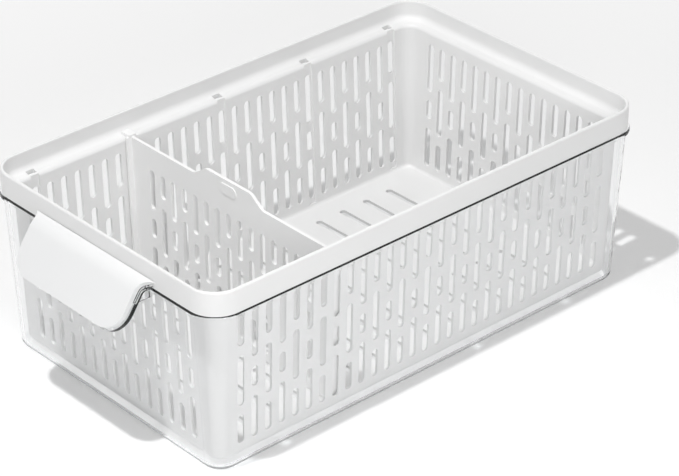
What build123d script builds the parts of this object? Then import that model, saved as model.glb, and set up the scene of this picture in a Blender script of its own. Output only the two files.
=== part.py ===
from build123d import *
from math import atan2, cos, hypot, sin, tan
import os

os.makedirs("parts", exist_ok=True)

# Produce keeper: a clear outer bin with a moulded pull handle, a white cover on that handle,
# a white slotted basket that hangs by its rim in the bin, and a lift-out divider.
# Millimetres, +Z up, the floor is Z = 0, the handle points to -Y and the width lies along X.

# Rim of the basket, which is the widest outline of the body
rim_width = 213.0
rim_length = 352.0
rim_corner = 19.0
rim_top = 127.0
band_height = 15.8
band_wall = 2.3
lip_round = 1.2
lip_round_in = 0.9

# Basket wall, ledge and floor
ledge_thick = 2.2
ledge_cove = 4.6
ledge_edge_round = 2.6
basket_wall = 2.0
basket_inset_top = 8.4
basket_inset_low = 12.0
basket_bottom = 4.4
basket_floor_thick = 2.0
basket_bottom_round = 4.0
basket_inner_round = 2.4

# Slots: upright columns along each long wall and each short wall, each cut in three by two webs
slot_pitch = 10.6
slot_width = 5.0
long_columns = 29
short_columns = 15
slot_low = 13.0
slot_high = 104.6
web_height = 7.0
web_centres_a = (36.0, 77.8)
web_centres_b = (45.6, 66.4)

# Drain slots in the basket floor
drain_rows = 3
drain_columns = 13
drain_length = 44.0
drain_width = 5.0
drain_row_pitch = 54.0
drain_pitch = 21.2

# Divider guides: a shallow groove in the wall and a notch in the ledge, at every few columns
guide_every = 7
guide_width = 6.2
guide_depth = 1.0
notch_width = 6.0
notch_depth = 3.9
notch_wall_gap = 0.2

# Outer bin
bin_wall = 2.0
bin_rim_inset = 0.8
bin_base_inset = 6.4
bin_floor_thick = 2.4
bin_bottom_round = 5.0
bin_inner_round = 3.0
bead_proud = 1.2
bead_height = 3.2
bead_round = 1.1

# Pull handle, measured from the front face of the rim band
handle_half_width = 50.0
handle_reach = 27.1
handle_drop = 27.5
handle_shelf = 8.2
handle_bend = 10.6
handle_corner = 15.0
handle_flare = 7.5
handle_plate = 3.0
cover_thick = 3.2
cover_rise = 5.1
cover_margin = 1.4
cover_band_gap = 0.5
cover_plate_gap = 0.1
gusset_thick = 2.0
gusset_drop = 9.0

# Divider, which stands in one pair of guides, counted from the handle end starting at 0
divider_slot = 1
divider_thick = 2.2
divider_floor_gap = 1.0
divider_wall_gap = 0.5
divider_end_rise = 0.4
grip_rise = 7.6
grip_half_width = 21.0
grip_shoulder = 11.0
grip_round = 7.0
grip_pad_half_width = 8.0
grip_pad_height = 7.0
grip_pad_drop = 6.5
grip_pad_proud = 0.5
flange_width = 9.4
flange_thick = 1.8
tongue_length = 16.0
guide_gap = 0.3
ear_thick = 1.8
ear_lift = 0.2
divider_slot_high = 98.0

# Two lengths closer than this are the same
near = 0.01

# Heights that follow from the sizes above
seat_height = rim_top - band_height
ledge_top = seat_height + ledge_thick
basket_floor_top = basket_bottom + basket_floor_thick
front_face = -rim_length / 2


def outline(inset, height):
    """Rounded rectangle at a height, inset from the outer face of the rim band."""
    size_x = rim_width - 2 * inset
    size_y = rim_length - 2 * inset
    return Pos(0, 0, height) * RectangleRounded(size_x, size_y, rim_corner - inset)


def tapered(inset_low, low, inset_high, high):
    """Solid between two outlines, with the draft of a moulded wall."""
    return loft([outline(inset_low, low), outline(inset_high, high)], ruled=True)


def ring_edges(part, height, inset):
    """Edges of the closed ring that lies at a height and an inset."""
    straight_x = rim_width / 2 - inset
    straight_y = rim_length / 2 - inset
    corner = rim_corner - inset
    found = ShapeList()
    for edge in part.edges():
        box = edge.bounding_box()
        if abs(box.min.Z - height) > near or abs(box.max.Z - height) > near:
            continue
        middle = edge @ 0.5
        on_x = abs(abs(middle.X) - straight_x) < near
        on_y = abs(abs(middle.Y) - straight_y) < near
        from_x = max(abs(middle.X) - (straight_x - corner), 0)
        from_y = max(abs(middle.Y) - (straight_y - corner), 0)
        on_corner = min(from_x, from_y) > near and abs(hypot(from_x, from_y) - corner) < near
        if on_x or on_y or on_corner:
            found.append(edge)
    return found


def basket_inset(height):
    """Inset of the outer face of the basket wall at a height."""
    share = (height - basket_bottom) / (seat_height - basket_bottom)
    return basket_inset_low + share * (basket_inset_top - basket_inset_low)


def slot_spans(web_centres, low, high):
    """Heights of the slots in one column, cut into three by two webs."""
    stops = [low]
    for centre in web_centres:
        stops += [centre - web_height / 2, centre + web_height / 2]
    stops.append(high)
    return list(zip(stops[0::2], stops[1::2]))


def slot_sheet(columns, first_is_a, low, high):
    """Flat pattern of upright slots: columns that alternate between two web layouts."""
    middle = (columns - 1) / 2
    slots = []
    for column in range(columns):
        is_a = (column % 2 == 0) == first_is_a
        centres = web_centres_a if is_a else web_centres_b
        for start, stop in slot_spans(centres, low, high):
            place = Pos((column - middle) * slot_pitch, (start + stop) / 2)
            slots.append(place * SlotOverall(stop - start, slot_width, rotation=90))
    return slots


# Basket


def guide_places():
    """Y positions of the divider guides along the long walls."""
    middle = (long_columns - 1) / 2
    return [(column - middle) * slot_pitch for column in range(0, long_columns, guide_every)]


def make_basket():
    band = extrude(outline(0, seat_height), band_height)
    band = fillet(band.edges().group_by(Axis.Z)[-1], lip_round)
    walls = tapered(basket_inset_low, basket_bottom, basket_inset_top, seat_height)
    walls = fillet(walls.edges().group_by(Axis.Z)[0], basket_bottom_round)

    # The hollow: the rim above the ledge ends in a cove, and the well below it follows the walls
    mouth = extrude(outline(band_wall, ledge_top), rim_top - ledge_top)
    mouth = fillet(mouth.edges().group_by(Axis.Z)[0], ledge_cove)
    well_inset_low = basket_inset(basket_floor_top) + basket_wall
    well_inset_top = basket_inset(ledge_top) + basket_wall
    well = tapered(well_inset_low, basket_floor_top, well_inset_top, ledge_top)
    well = fillet(well.edges().group_by(Axis.Z)[0], basket_inner_round)
    shell = band + walls - mouth - well
    shell = fillet(ring_edges(shell, ledge_top, well_inset_top), ledge_edge_round)
    shell = fillet(ring_edges(shell, rim_top, band_wall), lip_round_in)

    # Guides for the divider: the ledge notch sits just outside the wall
    for y in guide_places():
        for side in (-1, 1):
            face_low = rim_width / 2 - well_inset_low + guide_depth
            face_top = rim_width / 2 - well_inset_top + guide_depth
            inner = rim_width / 2 - well_inset_low - basket_wall
            foot = basket_floor_top + basket_inner_round
            points = [(inner, foot), (face_low, foot), (face_top, ledge_top), (inner, ledge_top)]
            points = [(side * x, z) for x, z in points]
            groove = Plane.XZ * make_face(Polyline(points, close=True))
            shell -= Pos(0, y, 0) * extrude(groove, guide_width / 2, both=True)
            notch_inner = rim_width / 2 - basket_inset(seat_height) + notch_wall_gap
            notch = Box(notch_depth, notch_width, 3 * ledge_thick)
            shell -= Pos(side * (notch_inner + notch_depth / 2), y, ledge_top) * notch

    # One pattern runs through both long walls and another through both short walls
    long_sheet = slot_sheet(long_columns, True, slot_low, slot_high)
    short_sheet = slot_sheet(short_columns, False, slot_low, slot_high)
    shell -= [extrude(Plane.YZ * slot, rim_width / 2, both=True) for slot in long_sheet]
    shell -= [extrude(Plane.XZ * slot, rim_length / 2, both=True) for slot in short_sheet]
    drains = []
    for row in range(drain_rows):
        for column in range(drain_columns):
            x = (row - (drain_rows - 1) / 2) * drain_row_pitch
            y = (column - (drain_columns - 1) / 2) * drain_pitch
            drain = Pos(x, y, 0) * SlotOverall(drain_length, drain_width)
            drains.append(extrude(drain, 2 * basket_floor_top))
    return shell - drains


# Handle profile: a short shelf that bends into a slope

handle_top = seat_height + cover_rise
slope_run = handle_reach - handle_shelf
slope_angle = atan2(handle_drop, slope_run)


def handle_line(depth, start):
    """Profile points at a depth under the top surface: distance from the band, then height."""
    bend = (handle_shelf - depth * tan(slope_angle / 2), handle_top - depth)
    tip_out = handle_reach - depth * sin(slope_angle)
    tip_up = handle_top - handle_drop - depth * cos(slope_angle)
    return [(start, handle_top - depth), bend, (tip_out, tip_up)]


def handle_layer(depth, thick, start, margin):
    """Bent plate of the handle between two depths, with rounded corners and flared roots."""
    upper = handle_line(depth, start)
    lower = handle_line(depth + thick, start)
    points = upper + lower[::-1]
    line = Polyline([(-out, up) for out, up in points], close=True)
    profile = make_face(line)
    for bend, radius in ((upper[1], handle_bend - depth), (lower[1], handle_bend - depth - thick)):
        corner = profile.vertices().sort_by_distance((-bend[0], bend[1], 0))[0]
        profile = fillet(corner, radius)
    half = handle_half_width + margin + 2 * handle_flare
    bar = extrude(Pos(0, front_face, 0) * (Plane.YZ * profile), half, both=True)

    # Outline in the plane of the slope: measured down the slope from the face of the band
    half_width = handle_half_width + margin
    root = start * cos(slope_angle) + depth * sin(slope_angle)
    tip = handle_shelf * cos(slope_angle) + hypot(slope_run, handle_drop) + margin
    points = [
        (half_width, -tip),
        (half_width, -root),
        (half, -root),
        (half, tip),
        (-half, tip),
        (-half, -root),
        (-half_width, -root),
        (-half_width, -tip),
    ]
    sheet = make_face(Polyline(points, close=True))
    for x in (half_width, -half_width):
        corner = sheet.vertices().sort_by_distance((x, -tip, 0))[0]
        sheet = fillet(corner, handle_corner + margin)
        corner = sheet.vertices().sort_by_distance((x, -root, 0))[0]
        sheet = fillet(corner, handle_flare)
    normal = (0, -sin(slope_angle), cos(slope_angle))
    slope = Plane(origin=(0, front_face, handle_top), x_dir=(1, 0, 0), z_dir=normal)
    return bar & extrude(slope * sheet, 2 * handle_reach, both=True)


def make_handle_cover():
    return handle_layer(0, cover_thick, cover_band_gap, 0)


# Outer bin


def make_bin():
    body = tapered(bin_base_inset, 0, bin_rim_inset, seat_height)
    body = fillet(body.edges().group_by(Axis.Z)[0], bin_bottom_round)
    bead = extrude(outline(-bead_proud, seat_height - bead_height), bead_height)
    bead = fillet(bead.edges().group_by(Axis.Z)[-1] + bead.edges().group_by(Axis.Z)[0], bead_round)
    body += bead

    # The clear half of the handle grows out of the front of the rim
    plate_depth = cover_thick + cover_plate_gap
    body += handle_layer(plate_depth, handle_plate, -bin_wall, cover_margin)
    bend, tip = handle_line(plate_depth + handle_plate / 2, 0)[1:]
    gusset_low = bend[1] - gusset_drop
    foot = (bend[0] + (tip[0] - bend[0]) * gusset_drop / (bend[1] - tip[1]), gusset_low)
    points = [(-bin_wall, bend[1]), bend, foot, (-bin_wall, gusset_low)]
    gusset = make_face(Polyline([(-out, up) for out, up in points], close=True))
    for side in (-1, 1):
        place = Pos(side * (handle_half_width - gusset_thick), front_face, 0)
        body += place * extrude(Plane.YZ * gusset, gusset_thick / 2, both=True)

    inner_low = bin_base_inset + bin_wall
    inner_top = bin_rim_inset + bin_wall
    hollow = tapered(inner_low, bin_floor_thick, inner_top, seat_height)
    hollow = fillet(hollow.edges().group_by(Axis.Z)[0], bin_inner_round)
    body -= hollow
    return body - extrude(outline(-cover_band_gap, seat_height), band_height)


# Divider


def make_divider():
    low = basket_floor_top + divider_floor_gap
    top = ledge_top + divider_end_rise
    grip_top = top + grip_rise

    def wall_face(height):
        return rim_width / 2 - basket_inset(height) - basket_wall - divider_wall_gap

    def strip(offset_in, offset_out, start, stop):
        """Upright strip along one end of the divider, which leans with the wall."""
        points = [
            (wall_face(start) - offset_in, start),
            (wall_face(start) + offset_out, start),
            (wall_face(stop) + offset_out, stop),
            (wall_face(stop) - offset_in, stop),
        ]
        return Plane.XZ * make_face(Polyline(points, close=True))

    shoulder = grip_half_width + grip_shoulder
    points = [
        (wall_face(low), low),
        (wall_face(top), top),
        (shoulder, top),
        (grip_half_width, grip_top),
        (-grip_half_width, grip_top),
        (-shoulder, top),
        (-wall_face(top), top),
        (-wall_face(low), low),
    ]
    sheet = make_face(Polyline(points, close=True))
    for x, z in points[2:6]:
        corner = sheet.vertices().sort_by_distance((x, z, 0))[0]
        sheet = fillet(corner, grip_round)
    for slot in slot_sheet(short_columns, False, slot_low, divider_slot_high):
        sheet -= slot
    body = extrude(Plane.XZ * sheet, divider_thick / 2, both=True)

    # Flange, guide tongue and ear at each end
    tongue_out = divider_wall_gap + guide_depth - guide_gap
    ear_low = ledge_top + ear_lift
    ear_out = rim_width / 2 - basket_inset(seat_height) + notch_wall_gap + notch_depth - guide_gap
    lug_in = ear_out - notch_depth + 2 * guide_gap
    end = extrude(strip(flange_thick, 0, low, top), flange_width / 2, both=True)
    tongue_low = ledge_top - tongue_length
    tongue = strip(flange_thick, tongue_out, tongue_low, ledge_top + ear_lift)
    end += extrude(tongue, guide_width / 2 - guide_gap, both=True)
    ear_in = wall_face(top) - flange_thick
    points = [
        (ear_in, ear_low),
        (lug_in, ear_low),
        (lug_in, seat_height),
        (ear_out, seat_height),
        (ear_out, ear_low + ear_thick),
        (ear_in, ear_low + ear_thick),
    ]
    ear = Plane.XZ * make_face(Polyline(points, close=True))
    end += extrude(ear, notch_width / 2 - guide_gap, both=True)
    body += end + mirror(end, about=Plane.YZ)

    # Oval pad on the front of the grip
    pad = Pos(0, grip_top - grip_pad_drop) * SlotOverall(2 * grip_pad_half_width, grip_pad_height)
    body += extrude(Plane.XZ * pad, divider_thick / 2 + grip_pad_proud)
    return Pos(0, guide_places()[divider_slot], 0) * body


parts = {
    "outer_bin": make_bin(),
    "handle_cover": make_handle_cover(),
    "basket": make_basket(),
    "divider": make_divider(),
}

for name, part in parts.items():
    export_step(part, f"parts/{name}.step")
    size = part.bounding_box().size
    print(name, len(part.solids()), round(part.volume), [round(v, 1) for v in size])
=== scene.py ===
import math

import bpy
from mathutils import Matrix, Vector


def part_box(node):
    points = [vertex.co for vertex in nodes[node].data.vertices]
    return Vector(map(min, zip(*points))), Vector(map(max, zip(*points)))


# %% [markdown]
# # A produce keeper for the fridge
#
# The object is four moulded pieces that nest: a clear outer bin with a pull handle, a white
# cover on that handle, a white slotted basket that hangs in the bin by its rim, and a white
# slotted divider that drops into guides in the basket.
#
# The solid model already has the real shape and size of each piece, down to the slots. So the
# first step is to load it as a fixed frame, and the work here is finish, light and view.
# Loading it, and not modelling the pieces again, keeps every look tied to the working part.

# %% Load the solid pieces
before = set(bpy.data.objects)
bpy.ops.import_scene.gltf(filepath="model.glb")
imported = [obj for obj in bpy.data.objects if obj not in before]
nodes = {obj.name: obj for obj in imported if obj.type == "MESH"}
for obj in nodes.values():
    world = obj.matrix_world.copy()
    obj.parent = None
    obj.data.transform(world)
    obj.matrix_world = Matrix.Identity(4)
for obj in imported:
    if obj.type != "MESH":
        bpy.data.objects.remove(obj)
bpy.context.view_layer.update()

MM_PER_METRE = 1000
for name in sorted(nodes):
    low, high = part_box(name)
    print(name, [round(MM_PER_METRE * side, 1) for side in high - low], "mm")

# %% [markdown]
# ## Writing shader maths as Python
#
# A finish is a small network of nodes. It can be wired by hand, box by box, but a long network
# is easier to read and to correct as an expression. The class below wraps the output of a node.
# Adding or multiplying two wrapped outputs puts a Math node between them, and the reflected
# forms let a plain number stand on the left, as in 1 - mask. Every other node comes from one
# method, which sets the node's own settings first and then its sockets.

# %% A wrapped socket
class Wire:
    """One output socket in a node tree."""

    def __init__(self, tree, socket):
        self.tree = tree
        self.socket = socket

    def math(self, operation, *values):
        sockets = dict(enumerate((self, *values)))
        return node(self.tree, "ShaderNodeMath", {"operation": operation}, sockets)[0]

    def __add__(self, other):
        return self.math("ADD", other)

    def __radd__(self, other):
        return self.math("ADD", other)

    def __sub__(self, other):
        return self.math("SUBTRACT", other)

    def __rsub__(self, other):
        return (self * -1).math("ADD", other)

    def __mul__(self, other):
        return self.math("MULTIPLY", other)

    def __rmul__(self, other):
        return self.math("MULTIPLY", other)

    def clamp(self):
        return self.math("MINIMUM", 1.0).math("MAXIMUM", 0.0)


class Made:
    """A new node, whose outputs are read by number or by name as wires."""

    def __init__(self, tree, made):
        self.tree = tree
        self.made = made

    def __getitem__(self, key):
        return Wire(self.tree, self.made.outputs[key])


# %% Adding nodes
def node(tree, kind, settings=None, sockets=None):
    """Adds a node: first its settings, then the values or wires of its sockets."""
    made = tree.nodes.new(kind)
    for key, value in (settings or {}).items():
        setattr(made, key, value)
    for key, value in (sockets or {}).items():
        if isinstance(value, Wire):
            tree.links.new(value.socket, made.inputs[key])
        else:
            made.inputs[key].default_value = value
    return Made(tree, made)


def new_material(name):
    """An empty material, and its node tree."""
    material = bpy.data.materials.new(name)
    material.use_nodes = True
    material.node_tree.nodes.clear()
    return material, material.node_tree


def paint(part, material):
    """Gives a solid piece its finish."""
    data = nodes[part].data
    data.materials.clear()
    data.materials.append(material)
    print(part, "is finished in", material.name, "with", len(material.node_tree.nodes), "nodes")


# %% [markdown]
# ## Where a point lies on the piece
#
# Moulded plastic isn't the same all over: it is a little duller where hands and shelves rub it,
# and its surface has the fine grain of the tool. Both are patterns in space, so they read the
# Object coordinates. The pieces sit at the origin, so those are the metres of the solid model,
# and a pattern stays fixed to its piece from every side. A picture wrapped round the piece could
# do the same, but it would need a flat layout of several hundred slots.

# %% Patterns in space
def place(tree):
    """The point on the piece, in metres."""
    return node(tree, "ShaderNodeTexCoord")["Object"]


def noise(tree, at, scale, detail=2.0, roughness=0.5):
    """Soft cloudy pattern from 0 to 1; scale is in features per metre."""
    sockets = {"Vector": at, "Scale": scale, "Detail": detail, "Roughness": roughness}
    return node(tree, "ShaderNodeTexNoise", {}, sockets)["Fac"]


def rise(tree, value, start, stop):
    """Goes smoothly from 0 at start to 1 at stop."""
    settings = {"interpolation_type": "SMOOTHSTEP", "clamp": True}
    sockets = {"Value": value, "From Min": start, "From Max": stop}
    return node(tree, "ShaderNodeMapRange", settings, sockets)[0]


def blend(tree, share, low, high):
    """Colour between two colours; colours are tuples or wires."""
    low, high = (side if isinstance(side, Wire) else (*side, 1) for side in (low, high))
    sockets = {0: share, 6: low, 7: high}
    return node(tree, "ShaderNodeMix", {"data_type": "RGBA"}, sockets)[2]


def bump(tree, height, strength, distance):
    """A surface direction that is tilted by a height pattern; distance is in metres."""
    sockets = {"Height": height, "Strength": strength, "Distance": distance}
    return node(tree, "ShaderNodeBump", {}, sockets)[0]


# %% [markdown]
# ## White moulded plastic
#
# The basket, the divider and the handle cover are white polypropylene. It is bright and satin,
# with a broad soft highlight, a very fine grain from the steel of the tool, slow waves where the
# melt cooled, and hair-thin scuffs. Hands rub it a little duller at the very top. One function
# makes all three, because they share the resin, and each piece passes its own tone, dullness and
# grain. A Bump node is enough for a grain of a few hundredths of a millimetre, because it never
# shows on the outline.

# %% Patterns of the white plastic
FLOW_SCALE, FLOW_DETAIL = 9.0, 3.0
SPECKLE_SCALE = 420.0
GRAIN_SCALE = 2600.0
SCUFF_SCALE, SCUFF_DETAIL, SCUFF_ROUGH = 260.0, 4.0, 0.6
SCUFF_STRETCH = (1.0, 1.0, 0.12)
SCUFF_RANGE = (0.60, 0.74)
RUB_BAND = 0.004


def white_patterns(tree, rub_height):
    """Slow waves, speckle, upright scuffs, the rubbed top and the fine grain, each 0 to 1."""
    at = place(tree)
    height = node(tree, "ShaderNodeSeparateXYZ", {}, {"Vector": at})["Z"]
    flow = noise(tree, at, FLOW_SCALE, FLOW_DETAIL)
    speckle = noise(tree, at, SPECKLE_SCALE)
    stretch = {"operation": "MULTIPLY"}
    streak_at = node(tree, "ShaderNodeVectorMath", stretch, {0: at, 1: SCUFF_STRETCH})[0]
    streaks = noise(tree, streak_at, SCUFF_SCALE, SCUFF_DETAIL, SCUFF_ROUGH)
    scuff = rise(tree, streaks, *SCUFF_RANGE)
    rubbed = rise(tree, height, rub_height, rub_height + RUB_BAND)
    grain = noise(tree, at, GRAIN_SCALE)
    return flow, speckle, scuff, rubbed, grain


# %% White plastic
PLASTIC_IOR = 1.49
SPECULAR_LEVEL = 0.5
COOLED, SPECKLED, SPECKLE_SHARE = 0.972, 0.985, 0.25
DULL_FLOW, DULL_SPECKLE, DULL_SCUFF, DULL_RUB = 0.10, 0.06, 0.10, 0.04
RELIEF_GRAIN, RELIEF_FLOW, RELIEF_SCUFF = 0.7, 6.0, 0.25
RELIEF_DEPTH = 0.00004


def white_plastic(name, tone, hue, roughness, grain_strength, rub_height):
    material, tree = new_material(name)
    flow, speckle, scuff, rubbed, grain = white_patterns(tree, rub_height)

    shade = [tone * part for part in hue]
    base = blend(tree, flow, [COOLED * part for part in shade], shade)
    base = blend(tree, speckle * SPECKLE_SHARE, base, [SPECKLED * part for part in shade])

    dull = roughness + (flow - 0.5) * DULL_FLOW + (speckle - 0.5) * DULL_SPECKLE
    dull = dull + scuff * DULL_SCUFF + rubbed * DULL_RUB
    relief = grain * RELIEF_GRAIN + flow * RELIEF_FLOW + scuff * RELIEF_SCUFF

    sockets = {
        "Base Color": base,
        "Roughness": dull.clamp(),
        "Normal": bump(tree, relief, grain_strength, RELIEF_DEPTH),
        "IOR": PLASTIC_IOR,
        "Specular IOR Level": SPECULAR_LEVEL,
    }
    shader = node(tree, "ShaderNodeBsdfPrincipled", {}, sockets)[0]
    node(tree, "ShaderNodeOutputMaterial", {}, {"Surface": shader})
    return material


# %% The three white pieces
NEUTRAL = (1.0, 1.0, 0.998)
COOL = (0.992, 0.997, 1.0)
# Each row is: finish, tone, hue, roughness, grain strength, height where the rubbed top starts.
WHITE_FINISHES = {
    "basket": ("basket_white", 0.86, NEUTRAL, 0.36, 0.5, 0.1255),
    "divider": ("divider_white", 0.93, NEUTRAL, 0.40, 0.6, 0.1190),
    "handle_cover": ("cover_white", 0.85, COOL, 0.30, 0.35, 0.1148),
}
for part, finish in WHITE_FINISHES.items():
    paint(part, white_plastic(*finish))

# %% [markdown]
# ## Clear moulded plastic
#
# The outer bin is a clear polymer, 2 mm thick. Its flat walls almost vanish, and the eye finds it
# by its edges: the bead under the rim, the rounded bottom and the lip of the handle show as thin
# grey lines, because light crosses far more plastic there. So the finish is real refraction
# with a weak grey absorption inside, which mostly the long paths notice. A see-through
# paint would be quicker, but it would show no such lines.
#
# Refracting walls would cast a dark shadow and keep light from the basket behind them. So the
# rays that carry light, from a lamp or off a matt surface, go straight through. One Mix Shader
# does that for each kind of ray, with its factor straight from the Light Path node.

# %% Clear plastic
RIPPLE_SCALE, RIPPLE_STRENGTH, RIPPLE_DEPTH = 22.0, 0.15, 0.00002
HAZE_SCALE, HAZE_DETAIL, HAZE_ROUGH = 150.0, 5.0, 0.65
HAZE_RANGE = (0.56, 0.72)
POLISHED, HAZY = 0.012, 0.03
WHITE = (1.0, 1.0, 1.0, 1)
LET_THROUGH = (0.99, 0.99, 0.99, 1)
INSIDE_TINT, INSIDE_DENSITY = (0.71, 0.74, 0.76, 1), 38.0


def clear_plastic(name):
    material, tree = new_material(name)
    at = place(tree)
    haze = rise(tree, noise(tree, at, HAZE_SCALE, HAZE_DETAIL, HAZE_ROUGH), *HAZE_RANGE)
    sockets = {
        "Base Color": WHITE,
        "Roughness": (POLISHED + haze * HAZY).clamp(),
        "Normal": bump(tree, noise(tree, at, RIPPLE_SCALE), RIPPLE_STRENGTH, RIPPLE_DEPTH),
        "IOR": PLASTIC_IOR,
        "Transmission Weight": 1.0,
    }
    surface = node(tree, "ShaderNodeBsdfPrincipled", {}, sockets)[0]
    passing = node(tree, "ShaderNodeBsdfTransparent", {}, {"Color": LET_THROUGH})[0]
    path = node(tree, "ShaderNodeLightPath")
    for ray in ("Is Diffuse Ray", "Is Shadow Ray"):
        sides = {0: path[ray], 1: surface, 2: passing}
        surface = node(tree, "ShaderNodeMixShader", {}, sides)[0]
    tint = {"Color": INSIDE_TINT, "Density": INSIDE_DENSITY}
    inside = node(tree, "ShaderNodeVolumeAbsorption", {}, tint)[0]
    node(tree, "ShaderNodeOutputMaterial", {}, {"Surface": surface, "Volume": inside})
    return material


paint("outer_bin", clear_plastic("clear_plastic"))

# %% [markdown]
# ## Floor
#
# A white product is shown on a white floor that has no edge. The floor here is a plain pale
# plane. What the camera, the gloss and the clear plastic see of it is lifted a little towards
# white, and more so far away, where the lamps reach less. The light that it throws on the object
# isn't lifted. More light would whiten it too, but it would burn out the white plastic.

# %% Floor
FLOOR_HALF = 3.0
FLOOR_COLOUR = (0.92, 0.92, 0.92, 1)
FLOOR_LIFT = 0.10
FAR_LIFT = 0.60
FAR_RANGE = (0.30, 1.60)


def seen(tree):
    """1 for the rays that look: from the camera, off gloss and through the clear plastic."""
    path = node(tree, "ShaderNodeLightPath")
    return (path["Is Camera Ray"] + path["Is Glossy Ray"] + path["Is Transmission Ray"]).clamp()


bpy.ops.object.select_all(action="DESELECT")
bpy.ops.mesh.primitive_plane_add(size=2 * FLOOR_HALF, location=(0, 0, 0))
floor = bpy.context.object
floor.name = "floor"

floor_paint, tree = new_material("pale_floor")
matt = node(tree, "ShaderNodeBsdfDiffuse", {}, {"Color": FLOOR_COLOUR})[0]
apart = node(tree, "ShaderNodeVectorMath", {"operation": "LENGTH"}, {0: place(tree)})["Value"]
strength = FLOOR_LIFT + rise(tree, apart, *FAR_RANGE) * FAR_LIFT
lit = {"Color": WHITE, "Strength": seen(tree) * strength}
lift = node(tree, "ShaderNodeEmission", {}, lit)[0]
both = node(tree, "ShaderNodeAddShader", {}, {0: matt, 1: lift})[0]
node(tree, "ShaderNodeOutputMaterial", {}, {"Surface": both})
floor.data.materials.append(floor_paint)
print("the floor is", [round(side, 1) for side in floor.dimensions], "m")

# %% [markdown]
# ## Surround
#
# An even pale surround fills the sides softly, as the walls of a white studio do. Its strength
# for the rays that carry light sets how dark the shadows are, and the rays that look find plain
# white there. A picture of a real studio could do both, but it would add reflections that
# nobody asked for.

# %% Surround
SURROUND = 0.37
BACKDROP = 1.0
world = bpy.data.worlds.new("studio")
bpy.context.scene.world = world
world.use_nodes = True
tree = world.node_tree
tree.nodes.clear()
fill = node(tree, "ShaderNodeBackground", {}, {"Color": WHITE, "Strength": SURROUND})[0]
white = node(tree, "ShaderNodeBackground", {}, {"Color": WHITE, "Strength": BACKDROP})[0]
both = node(tree, "ShaderNodeMixShader", {}, {0: seen(tree), 1: fill, 2: white})[0]
node(tree, "ShaderNodeOutputWorld", {}, {"Surface": both})
print("the surround lights at", SURROUND, "and shows at", BACKDROP)

# %% [markdown]
# ## Lamps
#
# One small lamp high above the front is the key: it is small, so its shadows have a firm edge,
# and high, so they fall short and to the back. A low lamp on the right lifts the long side, and
# a wide weak one behind keeps the back from going dull. A sun lamp could be the key as well, but
# its rays are parallel, and the shadows in the photo spread a little, as from a lamp nearby.

# %% Lamps
LAMP_AIM = Vector((0.0, 0.0, 0.05))


def lamp(name, at, size, power):
    """A round lamp that looks at the object: place and width in metres, power in watts."""
    data = bpy.data.lights.new(name, "AREA")
    data.shape = "DISK"
    data.size = size
    data.energy = power
    made = bpy.data.objects.new(name, data)
    bpy.context.scene.collection.objects.link(made)
    made.location = at
    made.rotation_mode = "QUATERNION"
    made.rotation_quaternion = (LAMP_AIM - Vector(at)).to_track_quat("-Z", "Y")
    print(name, "stands", round((LAMP_AIM - Vector(at)).length, 2), "m away")


lamp("key", (0.105, -0.62, 1.78), 0.07, 17.8)
lamp("side_fill", (0.75, -0.35, 0.42), 0.30, 2.0)
lamp("back_fill", (-0.90, 1.00, 0.70), 0.80, 2.0)

# %% [markdown]
# ## Camera
#
# The view is that of the photograph: from the right of the handle end, about 30 degrees above
# the floor, through a long lens, so that the long sides run almost parallel. The angles, the
# distance and the lens were worked out together from the lines of the rim and the base. The
# camera could be turned by eye, but three directions at right angles, made from the two angles,
# put it in place exactly.

# %% Camera
LENS = 150.0
SENSOR = 36.0
AZIMUTH = math.radians(48.211)
ELEVATION = math.radians(30.469)
ROLL = math.radians(-0.204)
AIM = Vector((0.018258, -0.000909, 0.060))
DISTANCE = 1.7707
NEAREST, FARTHEST = 0.05, 20.0

flat = math.cos(ELEVATION)
back = Vector((math.sin(AZIMUTH) * flat, -math.cos(AZIMUTH) * flat, math.sin(ELEVATION)))
right = Vector((math.cos(AZIMUTH), math.sin(AZIMUTH), 0.0))
up = back.cross(right)
level = Matrix((right, up, back)).transposed()
turned = level @ Matrix.Rotation(ROLL, 3, "Z")

# %% Place the camera
cam_data = bpy.data.cameras.new("camera")
cam_data.lens = LENS
cam_data.sensor_width = SENSOR
cam_data.clip_start = NEAREST
cam_data.clip_end = FARTHEST
camera = bpy.data.objects.new("camera", cam_data)
bpy.context.scene.collection.objects.link(camera)
camera.rotation_mode = "QUATERNION"
camera.rotation_quaternion = turned.to_quaternion()
camera.location = AIM + back * DISTANCE
bpy.context.scene.camera = camera
bpy.context.scene.view_settings.view_transform = "Standard"
print("the camera stands at", [round(value, 3) for value in camera.location])
